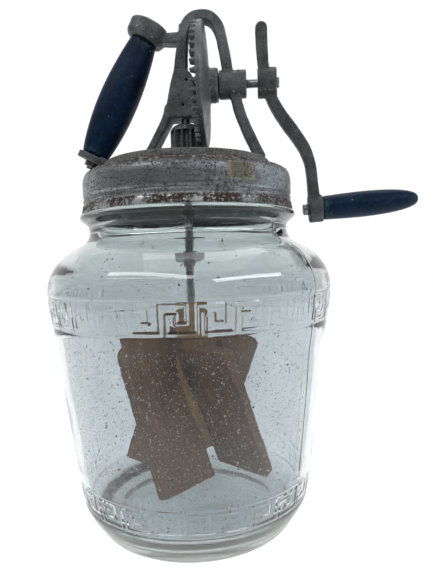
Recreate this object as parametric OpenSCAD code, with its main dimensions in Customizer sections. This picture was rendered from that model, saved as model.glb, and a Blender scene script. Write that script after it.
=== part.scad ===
// Hand-cranked glass butter churn, about 3.7 litres.
// Frame: +Z up, origin at the centre of the jar's flat base, crank shaft along +X.

/* [Jar] */
// Largest outside radius of the jar, at the shoulder
jar_r = 92; // [91:0.5:94]
// Glass wall thickness
wall = 4.4; // [3:0.2:5]
// Thickness of the glass floor
floor_t = 9.5; // [7:0.5:12]
// Height of the jar's rim above the base
rim_z = 226.6; // [226:0.2:227]

/* [Lid] */
// Outside radius of the tin lid's skirt
lid_r = 68; // [67.8:0.1:68.4]
// Sheet thickness of the lid
tin = 0.8; // [0.5:0.1:0.9]
// Radius of the raised flat plateau in the middle of the lid
plateau_r = 52.5; // [52:0.5:53.5]
// Height of the plateau's top face above the base
plateau_z = 236.5; // [236.4:0.1:236.6]

/* [Gear train] */
// Height of the horizontal crank shaft above the base
shaft_z = 287; // [286.8:0.1:287.2]
// Radius of the crank shaft and of the dasher rod
rod_r = 2.7; // [2.5:0.05:2.9]
// Radial running clearance of a shaft in its bore
run = 0.08; // [0.04:0.01:0.1]
// Number of teeth on the large crown gear
gear_teeth = 44; // [44:1:44]
// Number of teeth on the pinion
pinion_teeth = 11; // [11:1:11]
// Middle radius of the crown gear's tooth band
gear_rm = 35.7; // [35.6:0.1:35.8]
// Half the width of the tooth band
gear_hw = 3.4; // [3:0.1:3.6]

/* [Crank] */
// Length of the crank, from its shaft to the handle pivot
crank_len = 82.5; // [76:0.5:84]
// Tilt of the handle pin above the horizontal
handle_tilt = 4; // [0:0.5:5]
// Length of the wooden crank handle
handle_len = 61.5; // [50:0.5:64]
// Largest radius of the wooden crank handle
handle_r = 8.4; // [7:0.1:9.5]

/* [Side grip] */
// Largest radius of the barrel-shaped side grip
grip_r = 13; // [11:0.5:14]
// Radius of the grip's two ends
grip_end_r = 8.7; // [8:0.1:9.5]

/* [Dasher] */
// Outer reach of a paddle from the rod's axis
paddle_reach = 48.6; // [44:0.2:50]
// Height of the paddles' upper edges above the base
paddle_top = 119.5; // [116:0.5:122]
// Height of the paddles' lower edges above the base
paddle_bot = 32.5; // [28:0.5:36]
// Thickness of a paddle board
paddle_t = 7; // [5:0.5:7.5]
// Lean of each paddle from the vertical
paddle_lean = 24.4; // [20:0.2:27]
// Turn of the paddle cross about the rod at rest
paddle_turn = -37.9; // [-45:0.1:-35]
// Width of the square wooden hub
hub_w = 18; // [17:0.5:20]
// Height of the hub's top above the base
hub_top = 145; // [140:1:150]

/* [Hidden] */

iron = [0.36, 0.38, 0.38];
steel = [0.55, 0.56, 0.57];
blue = [0.07, 0.13, 0.24];
tinplate = [0.60, 0.58, 0.55];
timber = [0.42, 0.32, 0.24];

hub_bot = 46;                       // hub's lower end
rod_bot = 40;                       // rod's lower end
rod_top = 292;                      // rod's upper end, inside the upper bearing
pin_r = 2.2;                        // handle pin
pitch_r = gear_rm * pinion_teeth / gear_teeth;
modulus = 2 * pitch_r / pinion_teeth;
pin_out = pitch_r + 0.95 * modulus; // pinion tip radius
pin_root = pitch_r - 1.25 * modulus;
tooth_tip = pitch_r - 0.95 * modulus;   // x of the crown teeth's tips
tooth_root = pitch_r + 1.25 * modulus;  // x of the crown gear's root face

// side grip axis, from its lower end to its upper end
grip_lo = [-62, 0, 244.6];
grip_hi = [-26, 0, 317.5];
grip_v = grip_hi - grip_lo;
grip_len = norm(grip_v);
grip_a = atan2(grip_v[0], grip_v[2]);

// crank handle pivot
piv = [84, 0, shaft_z - crank_len];

// Catmull-Rom point at parameter t between p1 and p2
function cr(p0, p1, p2, p3, t) =
    0.5 * (2 * p1 + (p2 - p0) * t + (2 * p0 - 5 * p1 + 4 * p2 - p3) * t * t
           + (3 * p1 - p0 - 3 * p2 + p3) * t * t * t);
// smooth a list of [x, z, width] stations with n steps between stations
function smooth(p, n) = [
    for (i = [0 : len(p) - 2]) for (k = [0 : n - 1])
        cr(p[max(i - 1, 0)], p[i], p[i + 1], p[min(i + 2, len(p) - 1)], k / n),
    p[len(p) - 1]];
// unit normal of a station list at index i
function nrm(s, i) =
    let (a = s[max(i - 1, 0)], b = s[min(i + 1, len(s) - 1)],
         d = [b[0] - a[0], b[1] - a[1]], l = norm(d)) [-d[1] / l, d[0] / l];
function side(s, k) = [for (i = [0 : len(s) - 1])
    let (n = nrm(s, i)) [s[i][0] + k * n[0] * s[i][2] / 2, s[i][1] + k * n[1] * s[i][2] / 2]];
function rev(v) = [for (i = [len(v) - 1 : -1 : 0]) v[i]];

// flat rib that follows a station list in the XZ plane, d deep in Y
module rib(p, d, n = 4) {
    s = smooth(p, n);
    rotate([90, 0, 0]) linear_extrude(d, center = true)
        polygon(concat(side(s, 1), rev(side(s, -1))));
}
// upright plate from an XZ outline, d deep in Y
module plate(pts, d) rotate([90, 0, 0]) linear_extrude(d, center = true) polygon(pts);
// cylinder along +X from x0 to x1
module xcyl(x0, x1, r, y = 0, z = 0, fn = 64)
    translate([x0, y, z]) rotate([0, 90, 0]) cylinder(h = x1 - x0, r = r, $fn = fn);
// place children on the side grip's axis, z = 0 at its lower end
module on_grip() translate(grip_lo) rotate([0, grip_a, 0]) children();
// place children on the crank handle's axis, z = 0 at the pivot
module on_pin() translate(piv) rotate([0, 90 - handle_tilt, 0]) children();
// solid of revolution from [r, z] points
module turned(pts, fn = 96) rotate_extrude($fn = fn) polygon(pts);

// outside of the glass, [r, z] from the base centre to the rim
jar_out = [[0, 0], [58, 0], [61, 0.7], [64, 2.6], [66.8, 6.4], [69.8, 11], [73, 16.5],
    [75.6, 23], [77.4, 32], [79.2, 46], [81, 61], [82.9, 77], [84.6, 92], [86, 107],
    [87.2, 119], [88.8, 129], [90.4, 137.5], [jar_r - 0.5, 145.5], [jar_r, 152], [jar_r - 0.4, 158.5],
    [jar_r - 1.9, 164.6], [jar_r - 5.1, 170.6], [82, 176], [76.4, 180], [70.8, 183.4],
    [67, 186.2], [65.2, 189.2], [64.8, 193], [65.4, 196], [68, 198.4], [70, 200.2],
    [70.4, 201.8], [69.6, 203.2], [66.6, 203.6], [64.9, 204.6], [64.6, rim_z - 1.6],
    [64, rim_z - 0.5], [62.9, rim_z]];
jar_in = [[60.4, rim_z], [59.5, rim_z - 0.6], [59, rim_z - 1.8], [59, 204], [59.4, 196],
    [60, 190.5], [61.8, 186.4], [66, 182.2], [72, 178], [78, 173.6],
    [83, 168.8], [jar_r - 0.8 - wall, 163.6], [jar_r + 0.1 - wall, 158], [jar_r + 0.4 - wall, 152],
    [jar_r - 0.1 - wall, 145], [86, 137], [84.4, 128], [82.8, 118], [81.6, 106], [80.2, 91],
    [78.5, 76], [76.6, 60], [74.8, 45], [73, 32], [71.2, 23.5], [68.4, 17.6],
    [64, 12.8], [59, 10.6], [50, floor_t + 0.3], [0, floor_t]];

module jar() color([0.75, 0.82, 0.80, 0.35]) turned(concat(jar_out, jar_in), 128);

module gasket() color([0.25, 0.2, 0.17])
    difference() {
        translate([0, 0, rim_z]) cylinder(h = 2.2, r = 63.6, $fn = 128);
        translate([0, 0, rim_z - 1]) cylinder(h = 5, r = 58.6, $fn = 128);
    }

// lid, [r, z] outer line from the skirt's lower edge to the plateau
lid_out = [[lid_r + 1, 204], [lid_r + 0.5, 207], [lid_r + 0.1, 209.7], [lid_r - 0.6, 210.3], [lid_r, 211],
    [lid_r, 222], [lid_r - 0.4, 225], [lid_r - 1.6, 227.7], [lid_r - 3.4, 229.4],
    [lid_r - 6, 230.2], [plateau_r + 6, 230.8], [plateau_r + 4, 231.9], [plateau_r + 2.6, 234],
    [plateau_r + 1.6, 235.7], [plateau_r, plateau_z]];
function shell_in(p) = [for (i = [0 : len(p) - 1])
    let (a = p[max(i - 1, 0)], b = p[min(i + 1, len(p) - 1)], d = b - a, l = norm(d))
    [p[i][0] - tin * d[1] / l, p[i][1] + tin * d[0] / l]];
module lid_shell() color(tinplate) difference() {
    turned(concat([[0, plateau_z - tin]], rev([for (q = shell_in(lid_out)) [q[0], min(q[1], plateau_z - tin)]]),
        lid_out, [[0, plateau_z]]), 128);
    translate([0, 0, 230]) cylinder(h = 10, r = 5.1, $fn = 48);
    rivet_spots() translate([0, 0, -3]) cylinder(h = 10, r = 1.95, $fn = 24);
}
module lid_bush() color(steel) difference() {
    union() {
        translate([0, 0, 228]) cylinder(h = plateau_z - 228, r = 5, $fn = 48);
        translate([0, 0, plateau_z - tin - 1.2]) cylinder(h = 1.2, r = 8.5, $fn = 48);
    }
    translate([0, 0, 220]) cylinder(h = 30, r = rod_r + run, $fn = 48);
}

// rivet positions on the plateau: frame feet, then the grip bracket
spots = [[-34.5, 6.3], [-34.5, -6.3], [38, 6.6], [38, -6.6], [-43.6, 3.8], [-43.6, -3.8]];
module rivet_spots() for (s = spots) translate([s[0], s[1], plateau_z]) children();
module lid_rivets() color(steel) rivet_spots() rotate_extrude($fn = 32)
    polygon([[0, -2.1], [2.2, -2.1], [3, -1.5], [3, -tin], [1.9, -tin], [1.9, 3.6],
             [3.3, 3.6], [3.1, 4.5], [2.3, 5.2], [1.2, 5.6], [0, 5.7]]);

// cast frame, station lists are [x, z, width]
arch_line = [[-2.6, 291, 9.2], [-1.8, 301, 7.4], [-0.8, 311, 6.3], [0.5, 320, 6], [3.2, 326.4, 6],
    [7.4, 330, 6], [12.8, 331, 6], [18.2, 329.6, 6.2], [22.2, 325.4, 6.4], [24.5, 319.4, 6.4],
    [26, 312, 6.5], [27.6, 303, 6.5], [28.8, 294, 6.5]];
right_leg = [[33, 281, 6.6], [35.6, 270, 6.5], [39.6, 258.8, 6.4], [45.4, 246, 6.6], [49, 238.4, 6.6]];
left_leg = [[-9.6, 273, 5.4], [-12, 265.4, 4.6], [-16.9, 256.2, 4.2], [-22.2, 246.8, 4.4], [-27.6, 238.4, 5]];
top_arm = [[-0.6, 317.6, 6.4], [-9, 317.6, 6.2], [-15, 318.2, 6.2], [-21.5, 320.6, 5.8]];
module frame() color(iron) difference() {
    union() {
        rib(arch_line, 10.4);
        rib(right_leg, 8.4);
        rib(left_leg, 16);
        rib(top_arm, 9);
        // upper bearing block for the dasher rod
        plate([[-5.6, 296], [-8.4, 286], [-10.6, 276], [-12.8, 266.2], [-9, 265.6], [6, 265.6],
               [7, 267], [7, 289], [5, 293], [2.2, 296]], 17);
        // boss for the crank shaft
        xcyl(23, 31.4, 8.9, z = shaft_z);
        xcyl(31.4, 40.5, 8.7, z = shaft_z);
        // base bar with rounded feet and the lower bearing seat
        translate([0, 0, plateau_z]) linear_extrude(3.6) union() {
            translate([-36, -10]) square([76, 20]);
            translate([-29, 0]) circle(r = 10, $fn = 48);
            translate([41.5, 0]) circle(r = 10, $fn = 48);
        }
        translate([0, 0, plateau_z]) cylinder(h = 7, r = 9, $fn = 48);
        // socket cap over the side grip
        on_grip() translate([0, 0, grip_len]) {
            cylinder(h = 2.4, r1 = 11.2, r2 = 12.7, $fn = 64);
            translate([0, 0, 2.4]) cylinder(h = 7.6, r = 12.7, $fn = 64);
            translate([0, 0, 10]) cylinder(h = 1.4, r1 = 12.7, r2 = 11.6, $fn = 64);
        }
    }
    // rod bore, upper and lower
    translate([0, 0, 230]) cylinder(h = 80, r = rod_r + run, $fn = 48);
    // crank shaft bore
    xcyl(20, 45, rod_r + run, z = shaft_z, fn = 48);
    on_grip() cylinder(h = 120, r = 2.45, $fn = 32);
    rivet_spots() translate([0, 0, -3]) cylinder(h = 10, r = 1.95, $fn = 24);
    // oil holes
    translate([2.5, 0, 289]) rotate([90, 0, 0]) cylinder(h = 12, r = 0.9, $fn = 24);
    translate([-0.3, 0, 273.2]) rotate([90, 0, 0]) cylinder(h = 12, r = 0.9, $fn = 24);
    translate([35.6, -3.2, shaft_z]) rotate([20, 0, 0]) cylinder(h = 14, r = 1, $fn = 24);
}

strap_line = [[-60, 242.6, 4.2], [-55.6, 240.4, 4], [-51.4, 238.6, 3.8], [-48.2, 238.3, 3.6], [-46, 238.3, 3.6], [-38, 238.3, 3.6]];
module lower_bracket() color(iron) difference() {
    union() {
        on_grip() translate([0, 0, -4.4]) cylinder(h = 4.4, r = 10.6, $fn = 64);
        intersection() {
            rib(strap_line, 15);
            translate([-70, -20, plateau_z]) cube([30.7, 40, 20]);
        }
    }
    on_grip() translate([0, 0, -20]) cylinder(h = 40, r = 2.45, $fn = 32);
    // seat for the grip's end face
    on_grip() cylinder(h = 6, r = 9.2, $fn = 48);
    rivet_spots() translate([0, 0, -3]) cylinder(h = 10, r = 1.95, $fn = 24);
}

module side_grip() color(blue) on_grip() difference() {
    rotate_extrude($fn = 96) polygon(concat([[0, 0.1]],
        [for (i = [0 : 24]) let (u = i / 24, z = 0.1 + u * (grip_len - 0.2),
            b = pow(sin(180 * pow(u, 0.92)), 0.85))
            [grip_end_r + (grip_r - grip_end_r) * b, z]],
        [[0, grip_len - 0.1]]));
    translate([0, 0, -1]) cylinder(h = grip_len + 2, r = 2.45, $fn = 32);
}
module grip_rod() color(steel) on_grip() union() {
    translate([0, 0, -9.4]) cylinder(h = grip_len + 11.4 + 9.4, r = 2.4, $fn = 32);
    translate([0, 0, grip_len + 11.4]) rotate_extrude($fn = 40)
        polygon([[0, 0], [4.2, 0], [4, 1], [3, 1.9], [1.5, 2.3], [0, 2.4]]);
}
module grip_nut() color(steel) on_grip() translate([0, 0, -7.9]) difference() {
    cylinder(h = 3.4, r = 4.9, $fn = 6);
    translate([0, 0, -1]) cylinder(h = 6, r = 2.45, $fn = 32);
}

// crank side
module crank_shaft() color(steel) translate([0, 0, shaft_z]) difference() {
    union() {
        xcyl(10.6, 60.4, rod_r, fn = 48);
        xcyl(60.05, 61.9, 3.4, fn = 40);
    }
    translate([19.6, 0, -20]) cylinder(h = 40, r = 1.12, $fn = 24);
}
module gear_pin() color(steel) translate([19.6, 0, shaft_z - 11.3]) cylinder(h = 22.6, r = 1.1, $fn = 24);

// one crown tooth, its tip towards -X, pointing along +Z from the shaft
tooth_half = 0.82;   // half thickness on the pitch plane
module crown_tooth() translate([0, 0, gear_rm - gear_hw]) linear_extrude(2 * gear_hw)
    polygon([[tooth_tip, -tooth_half + 0.42], [tooth_tip, tooth_half - 0.42],
             [pitch_r, tooth_half], [tooth_root + 0.4, tooth_half + 0.62],
             [tooth_root + 0.4, -tooth_half - 0.62], [pitch_r, -tooth_half]]);
module drive_gear() color(iron) translate([0, 0, shaft_z]) difference() {
    union() {
        rotate([0, 90, 0]) rotate_extrude($fn = 128) polygon([
            [0, 11.8], [9.4, 11.8], [10.4, 12.4], [10.9, 13.4], [12.6, 13.6], [30, tooth_root],
            [gear_rm + gear_hw, tooth_root], [gear_rm + gear_hw, tooth_root + 2.7],
            [gear_rm + gear_hw - 0.8, tooth_root + 3.4], [32.4, tooth_root + 3.4], [30, tooth_root + 3.1],
            [12, 16.6], [11, 17.2], [10.8, 21.3], [10.2, 22.4], [0, 22.4]]);
        for (i = [0 : gear_teeth - 1]) rotate([(i + 0.5) * 360 / gear_teeth, 0, 0]) crown_tooth();
    }
    xcyl(0, 40, rod_r + 0.02, fn = 48);
    translate([19.6, 0, -20]) cylinder(h = 40, r = 1.12, $fn = 24);
}

crank_line = [[51, 321.4, 6.8], [51.1, 311.4, 6.9], [51.6, 302, 6.4], [52.6, 293, 6.2], [54.6, 283.5, 6.2],
    [57.2, 276, 6.2], [60.6, 269.2, 6.4], [65.6, 261.4, 6.9], [71.8, 252.6, 6.8], [77, 244.4, 6.5],
    [80.3, 236, 6], [81.9, 226.5, 5.9], [82.6, 216.8, 6.1], [83.6, 207, 7]];
module crank_arm() color(iron) difference() {
    union() {
        translate([0, 0, shaft_z - 287]) rib(crank_line, 7.4);
        translate([51, 3.7, 321.2]) rotate([90, 0, 0]) cylinder(h = 7.4, r = 3.4, $fn = 40);
        xcyl(48.4, 60, 9.2, z = shaft_z);
        on_pin() translate([0, 0, -4.2]) cylinder(h = 8.4, r = 8.5, $fn = 64);
    }
    xcyl(40, 70, rod_r + 0.02, z = shaft_z, fn = 48);
    on_pin() translate([0, 0, -20]) cylinder(h = 40, r = pin_r + 0.02, $fn = 40);
}
module handle_pin() color(steel) on_pin() rotate_extrude($fn = 40) polygon([
    [0, -8.2], [3, -8.2], [3.6, -7.6], [3.6, -4.2], [pin_r, -4.2], [pin_r, 44],
    [3, 44], [3, 46], [0, 46]]);
// outer line of the handle, [r, distance from the pivot]
hl = 4.5;
handle_out = [[handle_r - 0.7, hl], [handle_r - 0.4, hl + 6], [handle_r - 0.1, hl + 16],
    [handle_r, hl + handle_len * 0.42], [handle_r - 0.3, hl + handle_len * 0.58], [handle_r - 0.9, hl + handle_len * 0.72],
    [handle_r - 2, hl + handle_len * 0.84], [handle_r - 3.4, hl + handle_len * 0.93],
    [handle_r - 5, hl + handle_len * 0.98], [0, hl + handle_len]];
module crank_handle() color(blue) on_pin() difference() {
    rotate_extrude($fn = 96) polygon(concat([[0, hl]], handle_out));
    rotate_extrude($fn = 48) polygon([[0, 0], [pin_r + run, 0], [pin_r + run, 43.6],
        [3.3, 43.6], [3.3, 46.6], [0, 46.6]]);
}

// dasher side
pin_half = 0.86;     // half thickness of a pinion tooth at the pitch radius
module pinion() color(iron) difference() {
    union() {
        translate([0, 0, 245]) cylinder(h = 12.6, r = pin_root, $fn = 64);
        for (i = [0 : pinion_teeth - 1]) rotate([0, 0, i * 360 / pinion_teeth])
            translate([0, 0, 245]) linear_extrude(12.6)
                polygon([[pin_root - 0.5, -pin_half - 0.34], [pitch_r, -pin_half], [pin_out - 0.3, -pin_half + 0.5],
                         [pin_out, -0.12], [pin_out, 0.12],
                         [pin_out - 0.3, pin_half - 0.5], [pitch_r, pin_half], [pin_root - 0.5, pin_half + 0.34]]);
        rotate_extrude($fn = 64) polygon([[0, 257.5], [10.4, 257.5], [9.8, 259.2], [8.4, 260.8],
            [6.4, 261.9], [4.4, 262.4], [0, 262.4]]);
    }
    translate([0, 0, 240]) cylinder(h = 30, r = rod_r + 0.02, $fn = 48);
    translate([0, 20, 259.4]) rotate([90, 0, 0]) cylinder(h = 40, r = 1.02, $fn = 24);
}
module pinion_pin() color(steel) translate([0, 9.4, 259.4]) rotate([90, 0, 0]) cylinder(h = 18.8, r = 1, $fn = 24);
module dasher_rod() color(steel) difference() {
    translate([0, 0, rod_bot]) cylinder(h = rod_top - rod_bot, r = rod_r, $fn = 48);
    translate([0, 20, 259.4]) rotate([90, 0, 0]) cylinder(h = 40, r = 1.02, $fn = 24);
    translate([0, 0, 133]) rotate([90, 0, paddle_turn]) cylinder(h = 60, r = 1.22, center = true, $fn = 24);
}
module splash_disc() color(steel) difference() {
    rotate_extrude($fn = 64) polygon([[0, 178], [4, 178], [4.2, 179.4], [10, 179.2], [10, 180.4],
        [4.2, 180.6], [4, 182], [0, 182]]);
    translate([0, 0, 170]) cylinder(h = 20, r = rod_r + 0.02, $fn = 48);
}

// place children in a paddle's own frame: +X along its reach, +Z up its lean
module on_paddle(k) rotate([0, 0, paddle_turn + 90 * k])
    translate([0, 0, (paddle_top + paddle_bot) / 2]) rotate([paddle_lean, 0, 0]) children();
half_len = (paddle_top - paddle_bot) / 2 / cos(paddle_lean);
slot_r = 5.5;
nail_z = [-13, 9];
// board outline with its outer corners rounded, rt at the top and rb at the bottom
module board(rt, rb) rotate([90, 0, 0]) linear_extrude(paddle_t, center = true) union() {
    translate([slot_r, -half_len + rb]) square([paddle_reach - slot_r, 2 * half_len - rb - rt]);
    translate([slot_r, -half_len]) square([paddle_reach - slot_r - rb, rb + 1]);
    translate([slot_r, half_len - rt - 1]) square([paddle_reach - slot_r - rt, rt + 1]);
    translate([paddle_reach - rb, -half_len + rb]) circle(r = rb, $fn = 32);
    translate([paddle_reach - rt, half_len - rt]) circle(r = rt, $fn = 32);
}
module nails(k, r, g = 0) on_paddle(k) for (z = nail_z)
    translate([7.4, 0, z]) rotate([90, 0, 0]) translate([0, 0, -5.2 - g]) cylinder(h = 10.4 + 2 * g, r = r, $fn = 20);
module paddle(k, rt, rb) color(timber) difference() {
    on_paddle(k) board(rt, rb);
    nails(k, 0.85, 1);
}
module paddle_1() paddle(0, 3, 3.4);
module paddle_2() paddle(1, 2.4, 2.4);
module paddle_3() paddle(2, 4, 2.6);
module paddle_4() paddle(3, 9, 2);
module dasher_hub() color(timber) difference() {
    rotate([0, 0, paddle_turn]) intersection() {
        translate([-hub_w / 2, -hub_w / 2, hub_bot]) cube([hub_w, hub_w, hub_top - hub_bot]);
        rotate([0, 0, 45]) translate([-hub_w * 0.62, -hub_w * 0.62, hub_bot])
            cube([hub_w * 1.24, hub_w * 1.24, hub_top - hub_bot]);
        rotate_extrude($fn = 64) polygon([[0, hub_bot], [hub_w, hub_bot], [hub_w, hub_top - 12],
            [hub_w * 0.36, hub_top], [0, hub_top]]);
    }
    translate([0, 0, rod_bot]) cylinder(h = 200, r = rod_r + 0.02, $fn = 48);
    for (k = [0 : 3]) {
        on_paddle(k) translate([slot_r - 0.05, -paddle_t / 2 - 0.05, -80]) cube([40, paddle_t + 0.1, 160]);
        nails(k, 0.85, 1);
    }
    translate([0, 0, 133]) rotate([90, 0, paddle_turn]) cylinder(h = 60, r = 1.22, center = true, $fn = 24);
}
module hub_pin() color(steel) translate([0, 0, 133]) rotate([90, 0, paddle_turn])
    cylinder(h = 17.6, r = 1.2, center = true, $fn = 24);
module paddle_nails() color(steel) for (k = [0 : 3]) nails(k, 0.8);

jar();
gasket();
lid_shell();
lid_bush();
frame();
lower_bracket();
lid_rivets();
side_grip();
grip_rod();
grip_nut();
crank_shaft();
drive_gear();
gear_pin();
crank_arm();
handle_pin();
crank_handle();
pinion();
pinion_pin();
dasher_rod();
splash_disc();
dasher_hub();
hub_pin();
paddle_1();
paddle_2();
paddle_3();
paddle_4();
paddle_nails();
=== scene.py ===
import bpy, bmesh, math
import numpy as np
from mathutils import Matrix, Vector


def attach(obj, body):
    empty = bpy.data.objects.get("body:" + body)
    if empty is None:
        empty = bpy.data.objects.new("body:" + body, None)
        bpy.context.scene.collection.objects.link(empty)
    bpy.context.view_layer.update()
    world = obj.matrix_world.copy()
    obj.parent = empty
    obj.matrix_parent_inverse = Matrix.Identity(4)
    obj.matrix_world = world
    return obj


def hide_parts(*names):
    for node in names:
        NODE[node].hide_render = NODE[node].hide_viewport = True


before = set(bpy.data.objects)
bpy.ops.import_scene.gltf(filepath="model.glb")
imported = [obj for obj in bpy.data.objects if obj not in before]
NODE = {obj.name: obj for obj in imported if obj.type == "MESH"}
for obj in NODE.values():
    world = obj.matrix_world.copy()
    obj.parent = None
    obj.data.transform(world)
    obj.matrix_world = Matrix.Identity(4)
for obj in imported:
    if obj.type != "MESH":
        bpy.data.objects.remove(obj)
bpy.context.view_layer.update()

MM = 0.001


# ------------------------------------------------------------------ helpers
def vnoise(P, size, seed=0):
    """Smooth value noise, -1..1, on points P in mm with features of the given size."""
    L = np.random.default_rng(1000 + seed).random((32, 32, 32)) * 2 - 1
    q = np.asarray(P, float) / size + 7.31 * (seed % 11)
    i = np.floor(q).astype(int)
    f = q - i
    f = f * f * (3 - 2 * f)
    i = i % 32
    j = (i + 1) % 32
    x, y, z = f[:, 0], f[:, 1], f[:, 2]
    c = L[i[:, 0], i[:, 1], i[:, 2]] * (1 - x) + L[j[:, 0], i[:, 1], i[:, 2]] * x
    d = L[i[:, 0], j[:, 1], i[:, 2]] * (1 - x) + L[j[:, 0], j[:, 1], i[:, 2]] * x
    e = L[i[:, 0], i[:, 1], j[:, 2]] * (1 - x) + L[j[:, 0], i[:, 1], j[:, 2]] * x
    g = L[i[:, 0], j[:, 1], j[:, 2]] * (1 - x) + L[j[:, 0], j[:, 1], j[:, 2]] * x
    return (c * (1 - y) + d * y) * (1 - z) + (e * (1 - y) + g * y) * z


def fbm(P, size, seed=0, octaves=3):
    s, a, t = 0.0, 1.0, 0.0
    for k in range(octaves):
        s = s + a * vnoise(P, size / 2 ** k, seed + 17 * k)
        t += a
        a *= 0.5
    return s / t


def sstep(a, b, x):
    t = np.clip((np.asarray(x, float) - a) / (b - a), 0, 1)
    return t * t * (3 - 2 * t)


def add_object(name, verts_mm, faces, smooth=True):
    me = bpy.data.meshes.new(name)
    me.from_pydata((np.asarray(verts_mm, float) * MM).tolist(), [], [tuple(int(k) for k in f) for f in faces])
    me.update()
    if smooth:
        me.shade_smooth()
    ob = bpy.data.objects.new(name, me)
    bpy.context.scene.collection.objects.link(ob)
    return ob


def flatten(ob):
    """Applies an object's modifiers to its own mesh."""
    dg = bpy.context.evaluated_depsgraph_get()
    dg.update()
    me = bpy.data.meshes.new_from_object(ob.evaluated_get(dg))
    ob.modifiers.clear()
    old = ob.data
    ob.data = me
    bpy.data.meshes.remove(old)
    me.name = ob.name


def get_co(me):
    a = np.empty(len(me.vertices) * 3, np.float64)
    me.vertices.foreach_get("co", a)
    return a.reshape(-1, 3) / MM


def set_co(me, co):
    me.vertices.foreach_set("co", (np.asarray(co) * MM).ravel())
    me.update()


def get_no(me):
    a = np.empty(len(me.vertices) * 3, np.float64)
    me.vertices.foreach_get("normal", a)
    return a.reshape(-1, 3)


def keep_bores(co):
    """Keeps the walls of the shaft's and the rod's bores clear of them after smoothing."""
    co = co.copy()
    for a, b, c in ((1, 2, (0, 287.0)), (0, 1, (0, 0))):
        u, v = co[:, a] - c[0], co[:, b] - c[1]
        r = np.maximum(np.hypot(u, v), 1e-6)
        k = np.where(r < 2.82, 2.82 / r, 1.0)
        co[:, a], co[:, b] = u * k + c[0], v * k + c[1]
    return co


def cast_copy(name, nodes, voxel, smooth_it, body, material, fine=0.05, coarse=0.12, seed=0, shape=None, bores=False):
    """A rounded, slightly uneven copy of CAD nodes, as it would come out of a sand mould."""
    bm = bmesh.new()
    for n in nodes:
        bm.from_mesh(NODE[n].data)
    bmesh.ops.remove_doubles(bm, verts=bm.verts, dist=2e-6)
    me = bpy.data.meshes.new(name)
    bm.to_mesh(me)
    bm.free()
    ob = bpy.data.objects.new(name, me)
    bpy.context.scene.collection.objects.link(ob)
    r = ob.modifiers.new("r", "REMESH")
    r.mode = "VOXEL"
    r.voxel_size = voxel * MM
    s = ob.modifiers.new("s", "SMOOTH")
    s.factor = 0.5
    s.iterations = smooth_it
    flatten(ob)
    co, no = get_co(ob.data), get_no(ob.data)
    d = fine * fbm(co, 1.3, seed, 2) + coarse * (fbm(co, 7.0, seed + 5, 2) - 0.25)
    if shape is not None:
        d = d + shape(co, no)
    co = co + no * d[:, None]
    co[:, 2] = np.minimum(co[:, 2], 333.85)
    set_co(ob.data, keep_bores(co) if bores else co)
    ob.data.shade_smooth()
    ob.data.materials.clear()
    ob.data.materials.append(material)
    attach(ob, body)
    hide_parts(*nodes)
    return ob


def lathe(name, prof, n, fn=None, closed=True):
    """A solid of revolution about Z from a closed [r, z] line. fn(P) may move its points."""
    prof = np.asarray(prof, float)
    th = np.arange(n) * 2 * np.pi / n
    m = len(prof)
    V = np.empty((m, n, 3))
    V[..., 0] = prof[:, 0, None] * np.cos(th)
    V[..., 1] = prof[:, 0, None] * np.sin(th)
    V[..., 2] = prof[:, 1, None]
    V = V.reshape(-1, 3)
    if fn is not None:
        V = fn(V)
    F = []
    rows = m if closed else m - 1
    for i in range(rows):
        a, b = i * n, ((i + 1) % m) * n
        for k in range(n):
            k2 = (k + 1) % n
            F.append((a + k, a + k2, b + k2, b + k))
    return add_object(name, V, F)


def curve_pts(P, step):
    """Points every step mm or so along a Catmull-Rom line through P."""
    P = np.asarray(P, float)
    Q = np.vstack([2 * P[0] - P[1], P, 2 * P[-1] - P[-2]])
    out = []
    for i in range(1, len(Q) - 2):
        p0, p1, p2, p3 = Q[i - 1], Q[i], Q[i + 1], Q[i + 2]
        d1, d2, d3 = [max(np.linalg.norm(b - a), 1e-6) ** 0.5 for a, b in ((p0, p1), (p1, p2), (p2, p3))]
        t0, t1, t2, t3 = 0.0, d1, d1 + d2, d1 + d2 + d3
        k = max(1, int(round(np.linalg.norm(p2 - p1) / step)))
        for j in range(k):
            t = t1 + (t2 - t1) * j / k
            a1 = (t1 - t) / (t1 - t0) * p0 + (t - t0) / (t1 - t0) * p1
            a2 = (t2 - t) / (t2 - t1) * p1 + (t - t1) / (t2 - t1) * p2
            a3 = (t3 - t) / (t3 - t2) * p2 + (t - t2) / (t3 - t2) * p3
            b1 = (t2 - t) / (t2 - t0) * a1 + (t - t0) / (t2 - t0) * a2
            b2 = (t3 - t) / (t3 - t1) * a2 + (t - t1) / (t3 - t1) * a3
            out.append((t2 - t) / (t2 - t1) * b1 + (t - t1) / (t2 - t1) * b2)
    out.append(P[-1])
    return np.array(out)


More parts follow.
